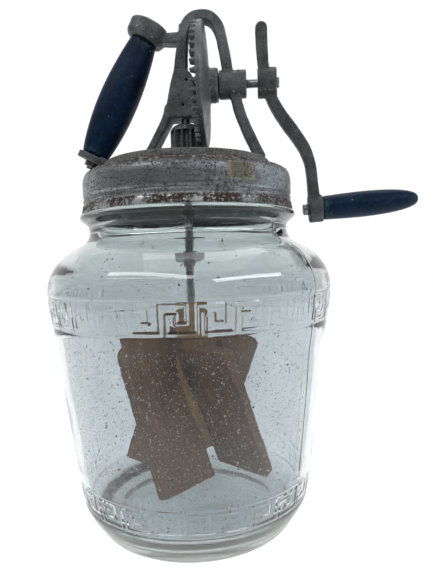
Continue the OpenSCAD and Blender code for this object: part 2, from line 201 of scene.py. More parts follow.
# ------------------------------------------------------------------ materials
class Mat:
    """A material with a Principled shader and short calls for the nodes behind it. Lengths are in mm."""

    def __init__(self, name):
        self.m = bpy.data.materials.new(name)
        self.m.use_nodes = True
        self.t = self.m.node_tree
        self.t.nodes.clear()
        self.out = self.t.nodes.new("ShaderNodeOutputMaterial")
        self.p = self.t.nodes.new("ShaderNodeBsdfPrincipled")
        self.t.links.new(self.p.outputs[0], self.out.inputs[0])
        tc = self.t.nodes.new("ShaderNodeTexCoord")
        sc = self.t.nodes.new("ShaderNodeVectorMath")
        sc.operation = "SCALE"
        sc.inputs["Scale"].default_value = 1000.0
        self.t.links.new(tc.outputs["Object"], sc.inputs[0])
        self.P = sc.outputs[0]
        self.xyz = None

    def put(self, socket, value):
        if isinstance(value, bpy.types.NodeSocket):
            self.t.links.new(value, socket)
        elif hasattr(socket.default_value, "__len__") and not hasattr(value, "__len__"):
            socket.default_value = [value] * len(socket.default_value)
        elif hasattr(value, "__len__") and len(value) == 3 and len(socket.default_value) == 4:
            socket.default_value = (*value, 1.0)
        else:
            socket.default_value = value

    def set(self, **kw):
        for k, v in kw.items():
            self.put(self.p.inputs[k.replace("_", " ")], v)

    def math(self, op, a, b=0.0, clamp=False):
        n = self.t.nodes.new("ShaderNodeMath")
        n.operation = op
        n.use_clamp = clamp
        self.put(n.inputs[0], a)
        self.put(n.inputs[1], b)
        return n.outputs[0]

    def axes(self):
        if self.xyz is None:
            n = self.t.nodes.new("ShaderNodeSeparateXYZ")
            self.put(n.inputs[0], self.P)
            self.xyz = n.outputs
        return self.xyz

    def mapping(self, scale=(1, 1, 1), rot=(0, 0, 0), loc=(0, 0, 0), vec=None):
        n = self.t.nodes.new("ShaderNodeMapping")
        self.put(n.inputs["Vector"], self.P if vec is None else vec)
        n.inputs["Location"].default_value = loc
        n.inputs["Rotation"].default_value = rot
        n.inputs["Scale"].default_value = scale
        return n.outputs[0]

    def noise(self, size, detail=3.0, rough=0.5, vec=None, dist=0.0, loc=None):
        if loc is not None:
            vec = self.mapping(loc=loc, vec=vec)
        n = self.t.nodes.new("ShaderNodeTexNoise")
        self.put(n.inputs["Vector"], self.P if vec is None else vec)
        n.inputs["Scale"].default_value = 1.0 / size
        n.inputs["Detail"].default_value = detail
        n.inputs["Roughness"].default_value = rough
        n.inputs["Distortion"].default_value = dist
        return n.outputs[0]

    def voronoi(self, size, vec=None, rand=1.0, feature="F1"):
        n = self.t.nodes.new("ShaderNodeTexVoronoi")
        n.feature = feature
        self.put(n.inputs["Vector"], self.P if vec is None else vec)
        n.inputs["Scale"].default_value = 1.0 / size
        n.inputs["Randomness"].default_value = rand
        return n.outputs["Distance"]

    def ramp(self, fac, *stops):
        n = self.t.nodes.new("ShaderNodeValToRGB")
        self.put(n.inputs[0], fac)
        e = n.color_ramp.elements
        while len(e) < len(stops):
            e.new(0.5)
        for k, (pos, col) in enumerate(stops):
            e[k].position = pos
            e[k].color = (*col, 1.0) if hasattr(col, "__len__") else (col, col, col, 1.0)
        return n.outputs[0]

    def span(self, v, a, b, lo=0.0, hi=1.0):
        """A smooth step of v from a to b."""
        n = self.t.nodes.new("ShaderNodeMapRange")
        n.interpolation_type = "SMOOTHSTEP"
        self.put(n.inputs["Value"], v)
        n.inputs["From Min"].default_value = a
        n.inputs["From Max"].default_value = b
        n.inputs["To Min"].default_value = lo
        n.inputs["To Max"].default_value = hi
        return n.outputs[0]

    def mix(self, fac, a, b, mode="MIX"):
        n = self.t.nodes.new("ShaderNodeMix")
        n.data_type = "RGBA"
        n.blend_type = mode
        self.put(n.inputs[0], fac)
        self.put(n.inputs[6], a)
        self.put(n.inputs[7], b)
        return n.outputs[2]

    def bump(self, height, distance, strength=1.0, after=None):
        n = self.t.nodes.new("ShaderNodeBump")
        n.inputs["Strength"].default_value = strength
        n.inputs["Distance"].default_value = distance * MM
        self.put(n.inputs["Height"], height)
        if after is not None:
            self.put(n.inputs["Normal"], after)
        return n.outputs[0]

    def edge(self, lo=0.5, hi=0.6):
        n = self.t.nodes.new("ShaderNodeNewGeometry")
        return self.span(n.outputs["Pointiness"], lo, hi)


def iron(name, dark, light, worn, metal=0.55, rough=(0.5, 0.7), seed=0.0, rust=0.25):
    """Old grey casting: mottled, rubbed bright on its edges, with a little rust and painted shade in its hollows."""
    m = Mat(name)
    big = m.noise(9.0, 4, 0.6, loc=(seed, 0, 0))
    fine = m.noise(0.9, 3, 0.6, loc=(0, seed, 0))
    col = m.mix(m.span(big, 0.32, 0.7), dark, light)
    col = m.mix(m.math("MULTIPLY", m.span(fine, 0.4, 0.72), 0.5), col, [c * 1.8 for c in light])
    # painted glints: small pale specks put into the colour where light would glint off the rough casting
    glint_specks = m.noise(0.45, 2, 0.6, loc=(seed, seed, 0))
    col = m.mix(m.math("MULTIPLY", m.span(glint_specks, 0.56, 0.72), 0.38), col, [c * 2.3 for c in light])
    col = m.mix(m.math("MULTIPLY", m.edge(0.51, 0.6), 0.8), col, worn)
    # painted shade: hollows and inner corners (low pointiness) are darkened as if shaded
    col = m.mix(m.math("MULTIPLY", m.edge(0.49, 0.43), 0.7), col, [c * 0.35 for c in dark])
    pits = m.span(m.voronoi(2.3), 0.24, 0.1)
    pits = m.math("MULTIPLY", pits, m.span(m.noise(14.0, 2, loc=(0, 0, seed)), 0.48, 0.62))
    col = m.mix(m.math("MULTIPLY", pits, 0.8), col, (0.016, 0.015, 0.013))
    patch = m.math("MULTIPLY", m.span(m.noise(6.0, 5, 0.7, loc=(seed, 9, 0)), 0.6, 0.74), rust)
    col = m.mix(patch, col, (0.075, 0.035, 0.017))
    m.set(Base_Color=col, Metallic=metal, Roughness=m.span(big, 0.3, 0.7, rough[1], rough[0]))
    n = m.bump(fine, 0.12, 0.7)
    n = m.bump(pits, -0.18, 0.8, n)
    m.set(Normal=n)
    return m.m


def steel(name, base, rough=(0.28, 0.45), rust=0.35, seed=0.0, streak=(1, 1, 1)):
    m = Mat(name)
    v = m.mapping(scale=streak)
    a = m.noise(2.6, 5, 0.65, vec=v, loc=(seed, 0, 0))
    b = m.noise(7.0, 3, 0.6, loc=(seed, 4, 0))
    col = m.mix(m.span(a, 0.3, 0.72), [c * 0.55 for c in base], base)
    r = m.math("MULTIPLY", m.span(b, 0.52, 0.7), rust)
    col = m.mix(r, col, (0.10, 0.052, 0.03))
    m.set(Base_Color=col, Metallic=0.92, Roughness=m.span(a, 0.3, 0.75, rough[1], rough[0]))
    m.set(Normal=m.bump(a, 0.05, 0.5))
    return m.m


def painted(name, lo_z, hi_z, axis, seed=0.0):
    """Dark navy paint on turned wood, rubbed through near both ends. axis gives the distance along the piece."""
    m = Mat(name)
    s = axis(m)
    wear = m.noise(3.2, 6, 0.72, loc=(seed, 0, 0), dist=0.6)
    big = m.noise(14.0, 3, 0.55, loc=(0, seed, 0))
    col = m.mix(m.span(big, 0.3, 0.7), (0.0010, 0.0080, 0.0245), (0.0018, 0.0165, 0.050))
    col = m.mix(m.math("MULTIPLY", m.span(wear, 0.5, 0.66), 0.6), col, (0.0095, 0.042, 0.078))
    ends = m.math("MAXIMUM", m.span(s, lo_z + 7.0, lo_z + 0.6), m.span(s, hi_z - 7.0, hi_z - 0.6))
    rub = m.math("MULTIPLY", ends, m.span(wear, 0.42, 0.6))
    col = m.mix(m.math("MULTIPLY", rub, 0.75), col, (0.035, 0.080, 0.095))
    chips = m.math("MULTIPLY", m.span(m.voronoi(6.5), 0.085, 0.05), m.span(m.noise(9.0, 2, loc=(3, 0, seed)), 0.5, 0.58))
    bare = m.math("MAXIMUM", chips, m.math("MULTIPLY", ends, m.span(m.noise(1.8, 5, 0.7, loc=(0, 0, seed)), 0.64, 0.7)))
    col = m.mix(bare, col, m.mix(m.noise(0.7, 3), (0.16, 0.12, 0.08), (0.32, 0.27, 0.2)))
    m.set(Base_Color=col, Roughness=m.span(wear, 0.35, 0.7, 0.42, 0.6))
    m.p.inputs["Specular IOR Level"].default_value = 0.14
    n = m.bump(m.noise(0.8, 4, 0.6), 0.05, 0.5)
    n = m.bump(bare, -0.12, 0.8, n)
    m.set(Normal=n)
    return m.m


def board_wood(name, rot, seed=0.0, tone=1.0, hub=False):
    """Weathered board with its grain along the board's own Z. rot turns row coordinates into board ones."""
    m = Mat(name)
    local = m.mapping(rot=rot, loc=(seed * 13.1, seed * 7.7, 0))
    long = m.mapping(scale=(1.0, 1.0, 0.07), vec=local)
    g1 = m.noise(2.4, 5, 0.62, vec=long, dist=0.8)
    g2 = m.noise(0.55, 3, 0.6, vec=long)
    rings = m.t.nodes.new("ShaderNodeTexWave")
    rings.wave_type, rings.bands_direction = "BANDS", "X"
    rings.inputs["Scale"].default_value = 0.085
    rings.inputs["Distortion"].default_value = 5.5
    rings.inputs["Detail"].default_value = 3.0
    rings.inputs["Detail Scale"].default_value = 0.9
    m.put(rings.inputs["Vector"], long)
    t = lambda *c: tuple(x * tone for x in c)
    col = m.mix(m.span(g1, 0.3, 0.72), t(0.118, 0.043, 0.0145), t(0.230, 0.100, 0.036))
    col = m.mix(m.math("MULTIPLY", rings.outputs[1], 0.45), col, t(0.125, 0.057, 0.025))
    col = m.mix(m.math("MULTIPLY", m.span(g2, 0.52, 0.7), 0.5), col, t(0.05, 0.026, 0.014))
    stain = m.noise(16.0, 4, 0.6, loc=(0, 0, seed))
    col = m.mix(m.math("MULTIPLY", m.span(stain, 0.5, 0.75), 0.4), col, t(0.26, 0.165, 0.095))
    col = m.mix(m.math("MULTIPLY", m.edge(0.5, 0.62), 0.35), col, t(0.36, 0.235, 0.13))
    ax, ay, az = m.axes()
    near = m.math("SQRT", m.math("ADD", m.math("MULTIPLY", ax, ax), m.math("MULTIPLY", ay, ay)))
    wet = m.math("MULTIPLY", m.math("MULTIPLY", m.span(near, 36.0, 12.0), m.span(az, 80.0, 106.0)), m.span(stain, 0.25, 0.5, 0.5, 1.0))
    col = m.mix(m.math("MULTIPLY", wet, 0.85), col, t(0.066, 0.020, 0.008))
    dots = m.math("MULTIPLY", m.span(m.voronoi(3.1), 0.16, 0.08), m.span(m.noise(8.0, 2, loc=(seed, 2, 1)), 0.45, 0.6))
    col = m.mix(m.math("MULTIPLY", dots, 0.7), col, t(0.45, 0.34, 0.23))
    if hub:
        col = m.mix(0.55, col, (0.42, 0.24, 0.07))
    m.set(Base_Color=col, Roughness=m.span(g1, 0.3, 0.7, 0.85, 0.62))
    n = m.bump(g2, 0.16, 0.8)
    n = m.bump(g1, 0.25, 0.6, n)
    m.set(Normal=n)
    return m.m


def see_through(m, tint):
    """Makes the nodes that let lamps through a glass: a light path switch, a tinted clear shader and a mix shader; the
    caller joins them so rays from lamps meet the clear shader.
    """
    mix = m.t.nodes.new("ShaderNodeMixShader")
    lp = m.t.nodes.new("ShaderNodeLightPath")
    tr = m.t.nodes.new("ShaderNodeBsdfTransparent")
    tr.inputs[0].default_value = (*tint, 1.0)
    return mix, lp, tr


def glass_material():
    m = Mat("jar_glass_clear")
    x, y, z = m.axes()
    big = m.noise(38.0, 3, 0.5)
    col = m.mix(m.span(big, 0.3, 0.7), (0.61, 0.655, 0.682), (0.565, 0.607, 0.622))
    high = m.span(z, 120.0, 205.0)
    col = m.mix(m.math("MULTIPLY", high, 0.75), col, (0.725, 0.79, 0.772))
    m.set(Base_Color=col, Roughness=0.0)
    m.p.inputs["Transmission Weight"].default_value = 1.0
    m.p.inputs["IOR"].default_value = 1.5
    wav = m.noise(9.0, 3, 0.5, vec=m.mapping(scale=(1, 1, 0.45)))
    m.set(Normal=m.bump(wav, 0.14, 0.3))
    # a thin dusty film, thicker in streaks and around the heel
    film = m.t.nodes.new("ShaderNodeBsdfDiffuse")
    low = m.span(z, 26.0, 5.0)
    m.put(film.inputs[0], m.mix(low, (0.36, 0.37, 0.355), (0.44, 0.455, 0.41)))
    cloud = m.noise(22.0, 5, 0.68, vec=m.mapping(scale=(1, 1, 0.5)))
    dust = m.noise(0.8, 2, 0.6)
    amount = m.math("MULTIPLY", m.span(cloud, 0.36, 0.78), m.span(dust, 0.3, 0.75, 0.008, 0.066))
    amount = m.math("MULTIPLY", amount, m.span(z, 135.0, 165.0, 0.42, 1.0))
    amount = m.math("ADD", amount, m.math("MULTIPLY", low, m.span(cloud, 0.3, 0.6, 0.16, 0.30)), clamp=True)
    mf = m.t.nodes.new("ShaderNodeMixShader")
    m.put(mf.inputs[0], amount)
    m.t.links.new(m.p.outputs[0], mf.inputs[1])
    m.t.links.new(film.outputs[0], mf.inputs[2])
    rad = m.math("SQRT", m.math("ADD", m.math("MULTIPLY", x, x), m.math("MULTIPLY", y, y)))
    ang = m.math("MULTIPLY", m.math("ARCTAN2", m.math("MULTIPLY", y, -1.0), m.math("MULTIPLY", x, -1.0)), 57.29578)
    line = m.math("MULTIPLY", m.math("MULTIPLY", m.span(rad, 57.0, 61.0), m.span(rad, 68.6, 66.6)), m.math("MULTIPLY", m.span(z, 10.2, 11.0), m.span(z, 17.5, 13.5)))
    line = m.math("MULTIPLY", line, m.math("MULTIPLY", m.span(ang, -88.0, -55.0), m.span(ang, 50.0, 15.0)))
    line = m.math("MULTIPLY", line, m.span(m.noise(5.0, 5, 0.7), 0.36, 0.52, 0.25, 0.95))
    dirt = m.t.nodes.new("ShaderNodeBsdfDiffuse")
    m.put(dirt.inputs[0], m.mix(m.noise(1.5, 4, 0.7), (0.035, 0.030, 0.022), (0.11, 0.095, 0.07)))
    md = m.t.nodes.new("ShaderNodeMixShader")
    m.put(md.inputs[0], line)
    m.t.links.new(mf.outputs[0], md.inputs[1])
    m.t.links.new(dirt.outputs[0], md.inputs[2])
    mix, lp, tr = see_through(m, (0.84, 0.875, 0.88))
    m.t.links.new(lp.outputs["Is Shadow Ray"], mix.inputs[0])
    m.t.links.new(md.outputs[0], mix.inputs[1])
    m.t.links.new(tr.outputs[0], mix.inputs[2])
    m.t.links.new(mix.outputs[0], m.out.inputs[0])
    return m.m


def tin_material():
    """Tinned lid: greyed and pitted, rusty at its corner, with an old tape mark on the skirt and painted highlights on
    its sides and lower band.
    """
    m = Mat("old_tinplate")
    x, y, z = m.axes()
    ang = m.math("MULTIPLY", m.math("ARCTAN2", y, x), 57.29578)
    cloud = m.noise(13.0, 5, 0.65)
    fine = m.noise(1.1, 4, 0.65)
    base = m.mix(m.span(cloud, 0.3, 0.7), (0.105, 0.116, 0.124), (0.225, 0.243, 0.258))
    base = m.mix(m.math("MULTIPLY", m.span(fine, 0.4, 0.75), 0.5), base, (0.36, 0.38, 0.392))
    # painted highlights: brighter and bluer beyond the tape mark, brighter on the far left, and a bright lower band
    right_highlight = m.math("MULTIPLY", m.span(ang, -52.0, -44.0), m.span(z, 212.5, 215.0))
    base = m.mix(m.math("MULTIPLY", right_highlight, 0.7), base, (0.34, 0.385, 0.40))
    left_highlight = m.math("MULTIPLY", m.math("MULTIPLY", m.span(ang, -98.0, -116.0), m.span(ang, -178.0, -160.0)), m.span(z, 212.5, 215.0))
    base = m.mix(m.math("MULTIPLY", left_highlight, 0.5), base, (0.345, 0.37, 0.375))
    # painted highlight along the lower band, strongest towards the front left
    lowband_highlight = m.span(z, 210.6, 209.2)
    side = m.math("MULTIPLY", m.span(ang, -178.0, -160.0, 0.28, 1.0), m.span(ang, -78.0, -60.0, 0.8, 0.224))
    base = m.mix(m.math("MULTIPLY", lowband_highlight, side), base, (0.56, 0.575, 0.57))
    # dark and pale horizontal streaks around the skirt: partly rubbing marks, partly painted streaky reflections
    rub = m.noise(2.4, 4, 0.65, vec=m.mapping(scale=(0.22, 0.22, 1.7)))
    base = m.mix(m.math("MULTIPLY", m.span(rub, 0.50, 0.70), 0.7), base, (0.060, 0.067, 0.072))
    base = m.mix(m.math("MULTIPLY", m.span(rub, 0.44, 0.28), 0.45), base, (0.36, 0.39, 0.41))
    top = m.span(z, 231.2, 233.5)
    base = m.mix(m.math("MULTIPLY", top, 0.75), base, m.mix(m.span(fine, 0.35, 0.7), (0.055, 0.054, 0.046), (0.125, 0.122, 0.106)))
    # dark pits
    pit = m.math("MULTIPLY", m.span(m.voronoi(1.5), 0.40, 0.26), m.span(m.math("ADD", m.noise(9.0, 4, 0.6, loc=(5, 0, 0)), m.span(ang, -95.0, -150.0, 0.0, 0.12)), 0.42, 0.52))
    pit2 = m.math("MULTIPLY", m.span(m.voronoi(3.6, vec=m.mapping(loc=(11, 3, 7))), 0.2, 0.1), m.span(m.noise(16.0, 3, 0.6), 0.30, 0.44))
    pits = m.math("MAXIMUM", pit, pit2)
    # rust along the upper corner, in patches on the skirt and on the lower band
    ragged = m.noise(2.3, 6, 0.75)
    wide = m.noise(17.0, 4, 0.6, loc=(0, 8, 0))
    corner = m.math("MULTIPLY", m.span(z, 225.0, 229.0), m.span(z, 233.6, 231.8))
    r1 = m.math("MULTIPLY", corner, m.span(ragged, 0.41, 0.51))
    lowz = m.math("MULTIPLY", m.span(z, 203.5, 204.6), m.span(z, 210.4, 208.4))
    r2 = m.math("MULTIPLY", lowz, m.math("MULTIPLY", m.span(ragged, 0.43, 0.5), m.span(wide, 0.38, 0.50)))
    mid = m.math("MULTIPLY", m.math("MULTIPLY", m.span(ang, -78.0, -72.0), m.span(ang, -58.0, -66.0)), m.span(z, 228.0, 214.0, 0.1, 0.9))
    r3 = m.math("MULTIPLY", mid, m.span(ragged, 0.50, 0.58))
    r4 = m.math("MULTIPLY", m.span(wide, 0.58, 0.68), m.span(ragged, 0.45, 0.56))
    rust = m.math("MAXIMUM", m.math("MAXIMUM", r1, r2), m.math("MAXIMUM", r3, m.math("MULTIPLY", r4, 0.8)))
    rustc = m.mix(m.noise(1.2, 4, 0.7, loc=(2, 2, 2)), (0.012, 0.0062, 0.0045), (0.060, 0.030, 0.017))
    # old tape: yellowish film with a paler border
    tx = m.math("MULTIPLY", m.span(ang, -64.4, -63.8), m.span(ang, -49.4, -50.0))
    tz = m.math("MULTIPLY", m.span(z, 216.4, 216.9), m.span(z, 226.9, 226.4))
    tape = m.math("MULTIPLY", tx, tz)
    ix = m.math("MULTIPLY", m.span(ang, -62.9, -62.3), m.span(ang, -50.9, -51.5))
    iz = m.math("MULTIPLY", m.span(z, 217.5, 218.1), m.span(z, 226.4, 225.8))
    inner = m.math("MULTIPLY", ix, iz)
    tapec = m.mix(inner, (0.25, 0.23, 0.165), m.mix(m.noise(1.6, 4, 0.7), (0.085, 0.078, 0.056), (0.175, 0.162, 0.118)))
    col = m.mix(rust, base, rustc)
    col = m.mix(m.math("MULTIPLY", tape, 0.84), col, tapec)
    col = m.mix(m.math("MULTIPLY", pits, 0.9), col, (0.018, 0.016, 0.014))
    dull = m.math("MAXIMUM", m.math("MAXIMUM", rust, tape), pits)
    dull = m.math("MAXIMUM", dull, m.math("MULTIPLY", top, 0.6))
    m.set(Base_Color=col, Metallic=m.span(dull, 0.0, 1.0, 0.82, 0.05), Roughness=m.math("ADD", m.span(cloud, 0.3, 0.7, 0.46, 0.34), m.math("MULTIPLY", dull, 0.38)))
    n = m.bump(fine, 0.07, 0.5)
    n = m.bump(pits, -0.16, 0.9, n)
    n = m.bump(rust, 0.08, 0.8, n)
    n = m.bump(tape, 0.12, 0.8, n)
    m.set(Normal=n)
    return m.m


M_IRON = iron("cast_iron_grey", (0.062, 0.070, 0.073), (0.122, 0.135, 0.140), (0.36, 0.38, 0.385), seed=1.3)
M_GEAR = iron("cast_iron_gear", (0.068, 0.077, 0.078), (0.14, 0.153, 0.155), (0.37, 0.39, 0.385), rough=(0.42, 0.62), seed=4.1, rust=0.35)
M_ARM = iron("cast_iron_crank", (0.040, 0.045, 0.044), (0.082, 0.090, 0.088), (0.27, 0.285, 0.28), seed=7.7, rust=0.4)
M_STEEL = steel("steel_dull", (0.34, 0.35, 0.35), seed=0.4)
M_ROD = steel("steel_rod", (0.50, 0.52, 0.54), rough=(0.22, 0.4), rust=0.25, seed=2.0, streak=(1, 1, 0.3))
M_NAIL = steel("steel_nail", (0.26, 0.24, 0.22), rough=(0.4, 0.6), rust=0.8, seed=3.0)
M_TIN = tin_material()
M_GLASS = glass_material()

# ------------------------------------------------------------------ jar
jar_out = [[0, 1.5], [30, 1.4], [48, 1.1], [52.5, 0.5], [55.5, 0.05], [58, 0.0], [61, 0.7], [64, 2.6], [66.8, 6.4], [69.8, 11], [73, 16.5],
    [75.6, 23], [77.4, 32], [79.2, 46], [81, 61], [82.9, 77], [84.6, 92], [86, 107],
    [87.2, 119], [88.8, 129], [90.4, 137.5], [91.5, 145.5], [92, 152], [91.6, 158.5],
    [90.1, 164.6], [86.9, 170.6], [82, 176], [76.4, 180], [70.8, 183.4],
    [67, 186.2], [65.2, 189.2], [64.8, 193], [65.4, 196], [68, 198.4], [70, 200.2],
    [70.4, 201.8], [69.6, 203.2], [66.6, 203.8], [64.9, 204.8], [64.6, 207], [64.6, 223], [64.4, 225],
    [63.8, 226.1], [62.9, 226.6]]
jar_in = [[60.6, 226.6], [59.6, 226.0], [59.1, 224.8], [59, 214], [59, 204], [59.4, 196],
    [60, 190.5], [61.8, 186.4], [66, 182.2], [72, 178], [78, 173.6],
    [83, 168.8], [86.8, 163.6], [87.7, 158], [88, 152],
    [87.5, 145], [86, 137], [84.4, 128], [82.8, 118], [81.6, 106], [80.2, 91],
    [78.5, 76], [76.6, 60], [74.8, 45], [73, 32], [71.2, 23.5], [68.4, 17.6],
    [64, 12.8], [59, 10.6], [50, 9.8], [25, 9.6], [0, 9.5]]

# greek key line: [share of the pitch, share of the height] along one motif
KEY = [(0, 0), (0, 1), (0.72, 1), (0.72, 0.36), (0.44, 0.36), (0.44, 0.66), (0.18, 0.66), (0.18, 0), (1, 0)]


def key_height(ang, z, z0, z1, n, phase, r, width=1.95, high=0.8):
    """Height of the raised key pattern at angles ang (degrees) and heights z."""
    pitch = 360.0 / n
    w = 2 * np.pi * r / n
    u = ((ang - phase) / pitch) % 1.0
    best = np.full(ang.shape, 1e9)
    H = z1 - z0
    for sh in (-1, 0, 1):
        pts = [((a + sh) * w, z0 + b * H) for a, b in KEY]
        for (x1, y1), (x2, y2) in zip(pts[:-1], pts[1:]):
            dx, dy = x2 - x1, y2 - y1
            L2 = dx * dx + dy * dy
            t = np.clip(((u * w - x1) * dx + (z - y1) * dy) / L2, 0, 1)
            d = np.hypot(u * w - (x1 + t * dx), z - (y1 + t * dy))
            best = np.minimum(best, d)
    q = np.clip(best / (width / 2 + 0.5), 0, 1)
    return high * (1 - q * q * (3 - 2 * q))


SEAMS = (-33.0, 147.0)


def worn(ang, mid, half):
    """The relief is crisp over one stretch of the jar and softer elsewhere."""
    d = np.abs((ang - mid + 180) % 360 - 180)
    return 0.38 + 0.62 * (1 - sstep(half * 0.6, half * 1.6, d))


def jar():
    out = curve_pts(jar_out, 1.6)
    inn = curve_pts(jar_in, 2.4)
    zz, rr = out[:, 1], out[:, 0]
    up = (zz >= 12) & (np.arange(len(zz)) > 12)
    hi = np.argmax(zz > 184)
    lo = np.argmax(up)
    rz = lambda z: np.interp(z, zz[lo:hi], rr[lo:hi])
    generic = sorted(set([round(k * 1.5, 4) for k in range(240)] +
                         [round((s + d) % 360, 4) for s in SEAMS for d in (-1.1, -0.75, -0.5, -0.3, -0.15, 0.001, 0.15, 0.3, 0.5, 0.75, 1.1)]))
    up_cols = [k * 360.0 / 1440 for k in range(1440)]
    lo_cols = [k * 360.0 / 1248 for k in range(1248)]
    rows = []   # (r, z, cols, kind)
    for r, z in out[: np.argmax(up & (zz > 20.6))]:
        rows.append((r, z, generic, "out"))
    for z in np.arange(21.2, 39.7, 0.5):
        rows.append((rz(z), z, lo_cols, "low"))
    for z in np.arange(41.5, 132.0, 4.0):
        rows.append((rz(z), z, generic, "out"))
    for z in np.arange(133.2, 154.3, 0.5):
        rows.append((rz(z), z, up_cols, "high"))
    start = np.argmax(zz > 155.0)
    for r, z in out[start:]:
        if rows[-1][1] > 204.5 and rows[-1][1] < 222 and z - rows[-1][1] > 1.0:
            a = rows[-1]
            for f in (0.33, 0.67):
                rows.append((a[0] + (r - a[0]) * f, a[1] + (z - a[1]) * f, generic, "out"))
        rows.append((r, z, generic, "out"))
    for r, z in inn:
        rows.append((r, z, generic, "in"))
    V, F, rings = [], [], []
    for r, z, cols, kind in rows:
        if r < 0.01:
            rings.append(([len(V)], [0.0]))
            V.append((0, 0, max(z, 0.0)))
            continue
        a = np.array(cols)
        t = np.radians(a)
        P = np.stack([r * np.cos(t), r * np.sin(t), np.full(len(a), z)], 1)
        rad = np.full(len(a), r)
        if kind == "in":
            amp = 0.28 if z < 185 else 0.12
            rad = rad + amp * fbm(P * (1, 1, 0.6), 30.0, 3, 2) * min(1.0, r / 40)
            zoff = 0.35 * fbm(P, 26.0, 8, 2) if z < 12 else 0.0
        else:
            zoff = 0.0
            soft = 0.10 if 6 < z < 184 else 0.05
            rad = rad - soft * (1 + fbm(P * (1, 1, 0.5), 24.0, 4, 2))
            base = 0.6 * (sstep(20.8, 22.6, z) * (1 - sstep(37.8, 39.6, z)) + sstep(132.2, 134.6, z) * (1 - sstep(152.4, 154.4, z)))
            rad = rad - base
            if kind == "low":
                rad = rad + key_height(a, z, 24.4, 36.4, 26, -89.0, 77.0, 1.6, 0.58) * worn(a, -85.0, 42.0)
            if kind == "high":
                rad = rad + key_height(a, z, 136.3, 150.9, 30, -81.5, 91.5, 1.75, 0.6) * worn(a, -80.0, 20.0)
            for s in SEAMS:
                d = np.abs((a - s + 180) % 360 - 180) * np.pi / 180 * r
                if 4 < z < 196:
                    rad = rad + 0.14 * np.exp(-(d / 0.6) ** 2)
            if 205.5 < z < 223:     # screw thread under the lid
                for turn in (-1, 0, 1, 2):
                    zc = 209.0 + 6.0 * ((a + 40) % 360) / 360 + 6.0 * turn
                    live = sstep(208.0, 210.0, zc) * (1 - sstep(218.5, 220.5, zc))
                    rad = rad + 1.7 * live * np.exp(-((z - zc) / 1.0) ** 2)
                rad = np.minimum(rad, 66.6)
            rad = np.minimum(rad, 91.98)
        P = np.stack([rad * np.cos(t), rad * np.sin(t), np.maximum(z + zoff, 0.0) * np.ones(len(a))], 1)
        rings.append((list(range(len(V), len(V) + len(a))), list(a)))
        V.extend(P.tolist())
    for (ia, aa), (ib, ab) in zip(rings[:-1], rings[1:]):
        na, nb = len(ia), len(ib)
        if na == 1:
            for k in range(nb):
                F.append((ia[0], ib[(k + 1) % nb], ib[k]))
        elif nb == 1:
            for k in range(na):
                F.append((ia[k], ia[(k + 1) % na], ib[0]))
        elif na == nb:
            for k in range(na):
                k2 = (k + 1) % na
                F.append((ia[k], ia[k2], ib[k2], ib[k]))
        else:
            xa, xb = aa + [360.0 + aa[0]], ab + [360.0 + ab[0]]
            i = j = 0
            while i < na or j < nb:
                if j >= nb or (i < na and xa[i + 1] <= xb[j + 1]):
                    F.append((ia[i % na], ia[(i + 1) % na], ib[j % nb]))
                    i += 1
                else:
                    F.append((ia[i % na], ib[(j + 1) % nb], ib[j % nb]))
                    j += 1
    # the first pole faces down, the profile then climbs outside and returns inside
    ob = add_object("jar_body", V, F)
    bm = bmesh.new()
    bm.from_mesh(ob.data)
    bmesh.ops.recalc_face_normals(bm, faces=bm.faces)
    bm.to_mesh(ob.data)
    bm.free()
    ob.data.shade_smooth()
    ob.data.materials.append(M_GLASS)
    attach(ob, "jar")
    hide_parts("jar")
    return ob, rz


JAR, out_r = jar()
in_curve = curve_pts(jar_in, 1.5)


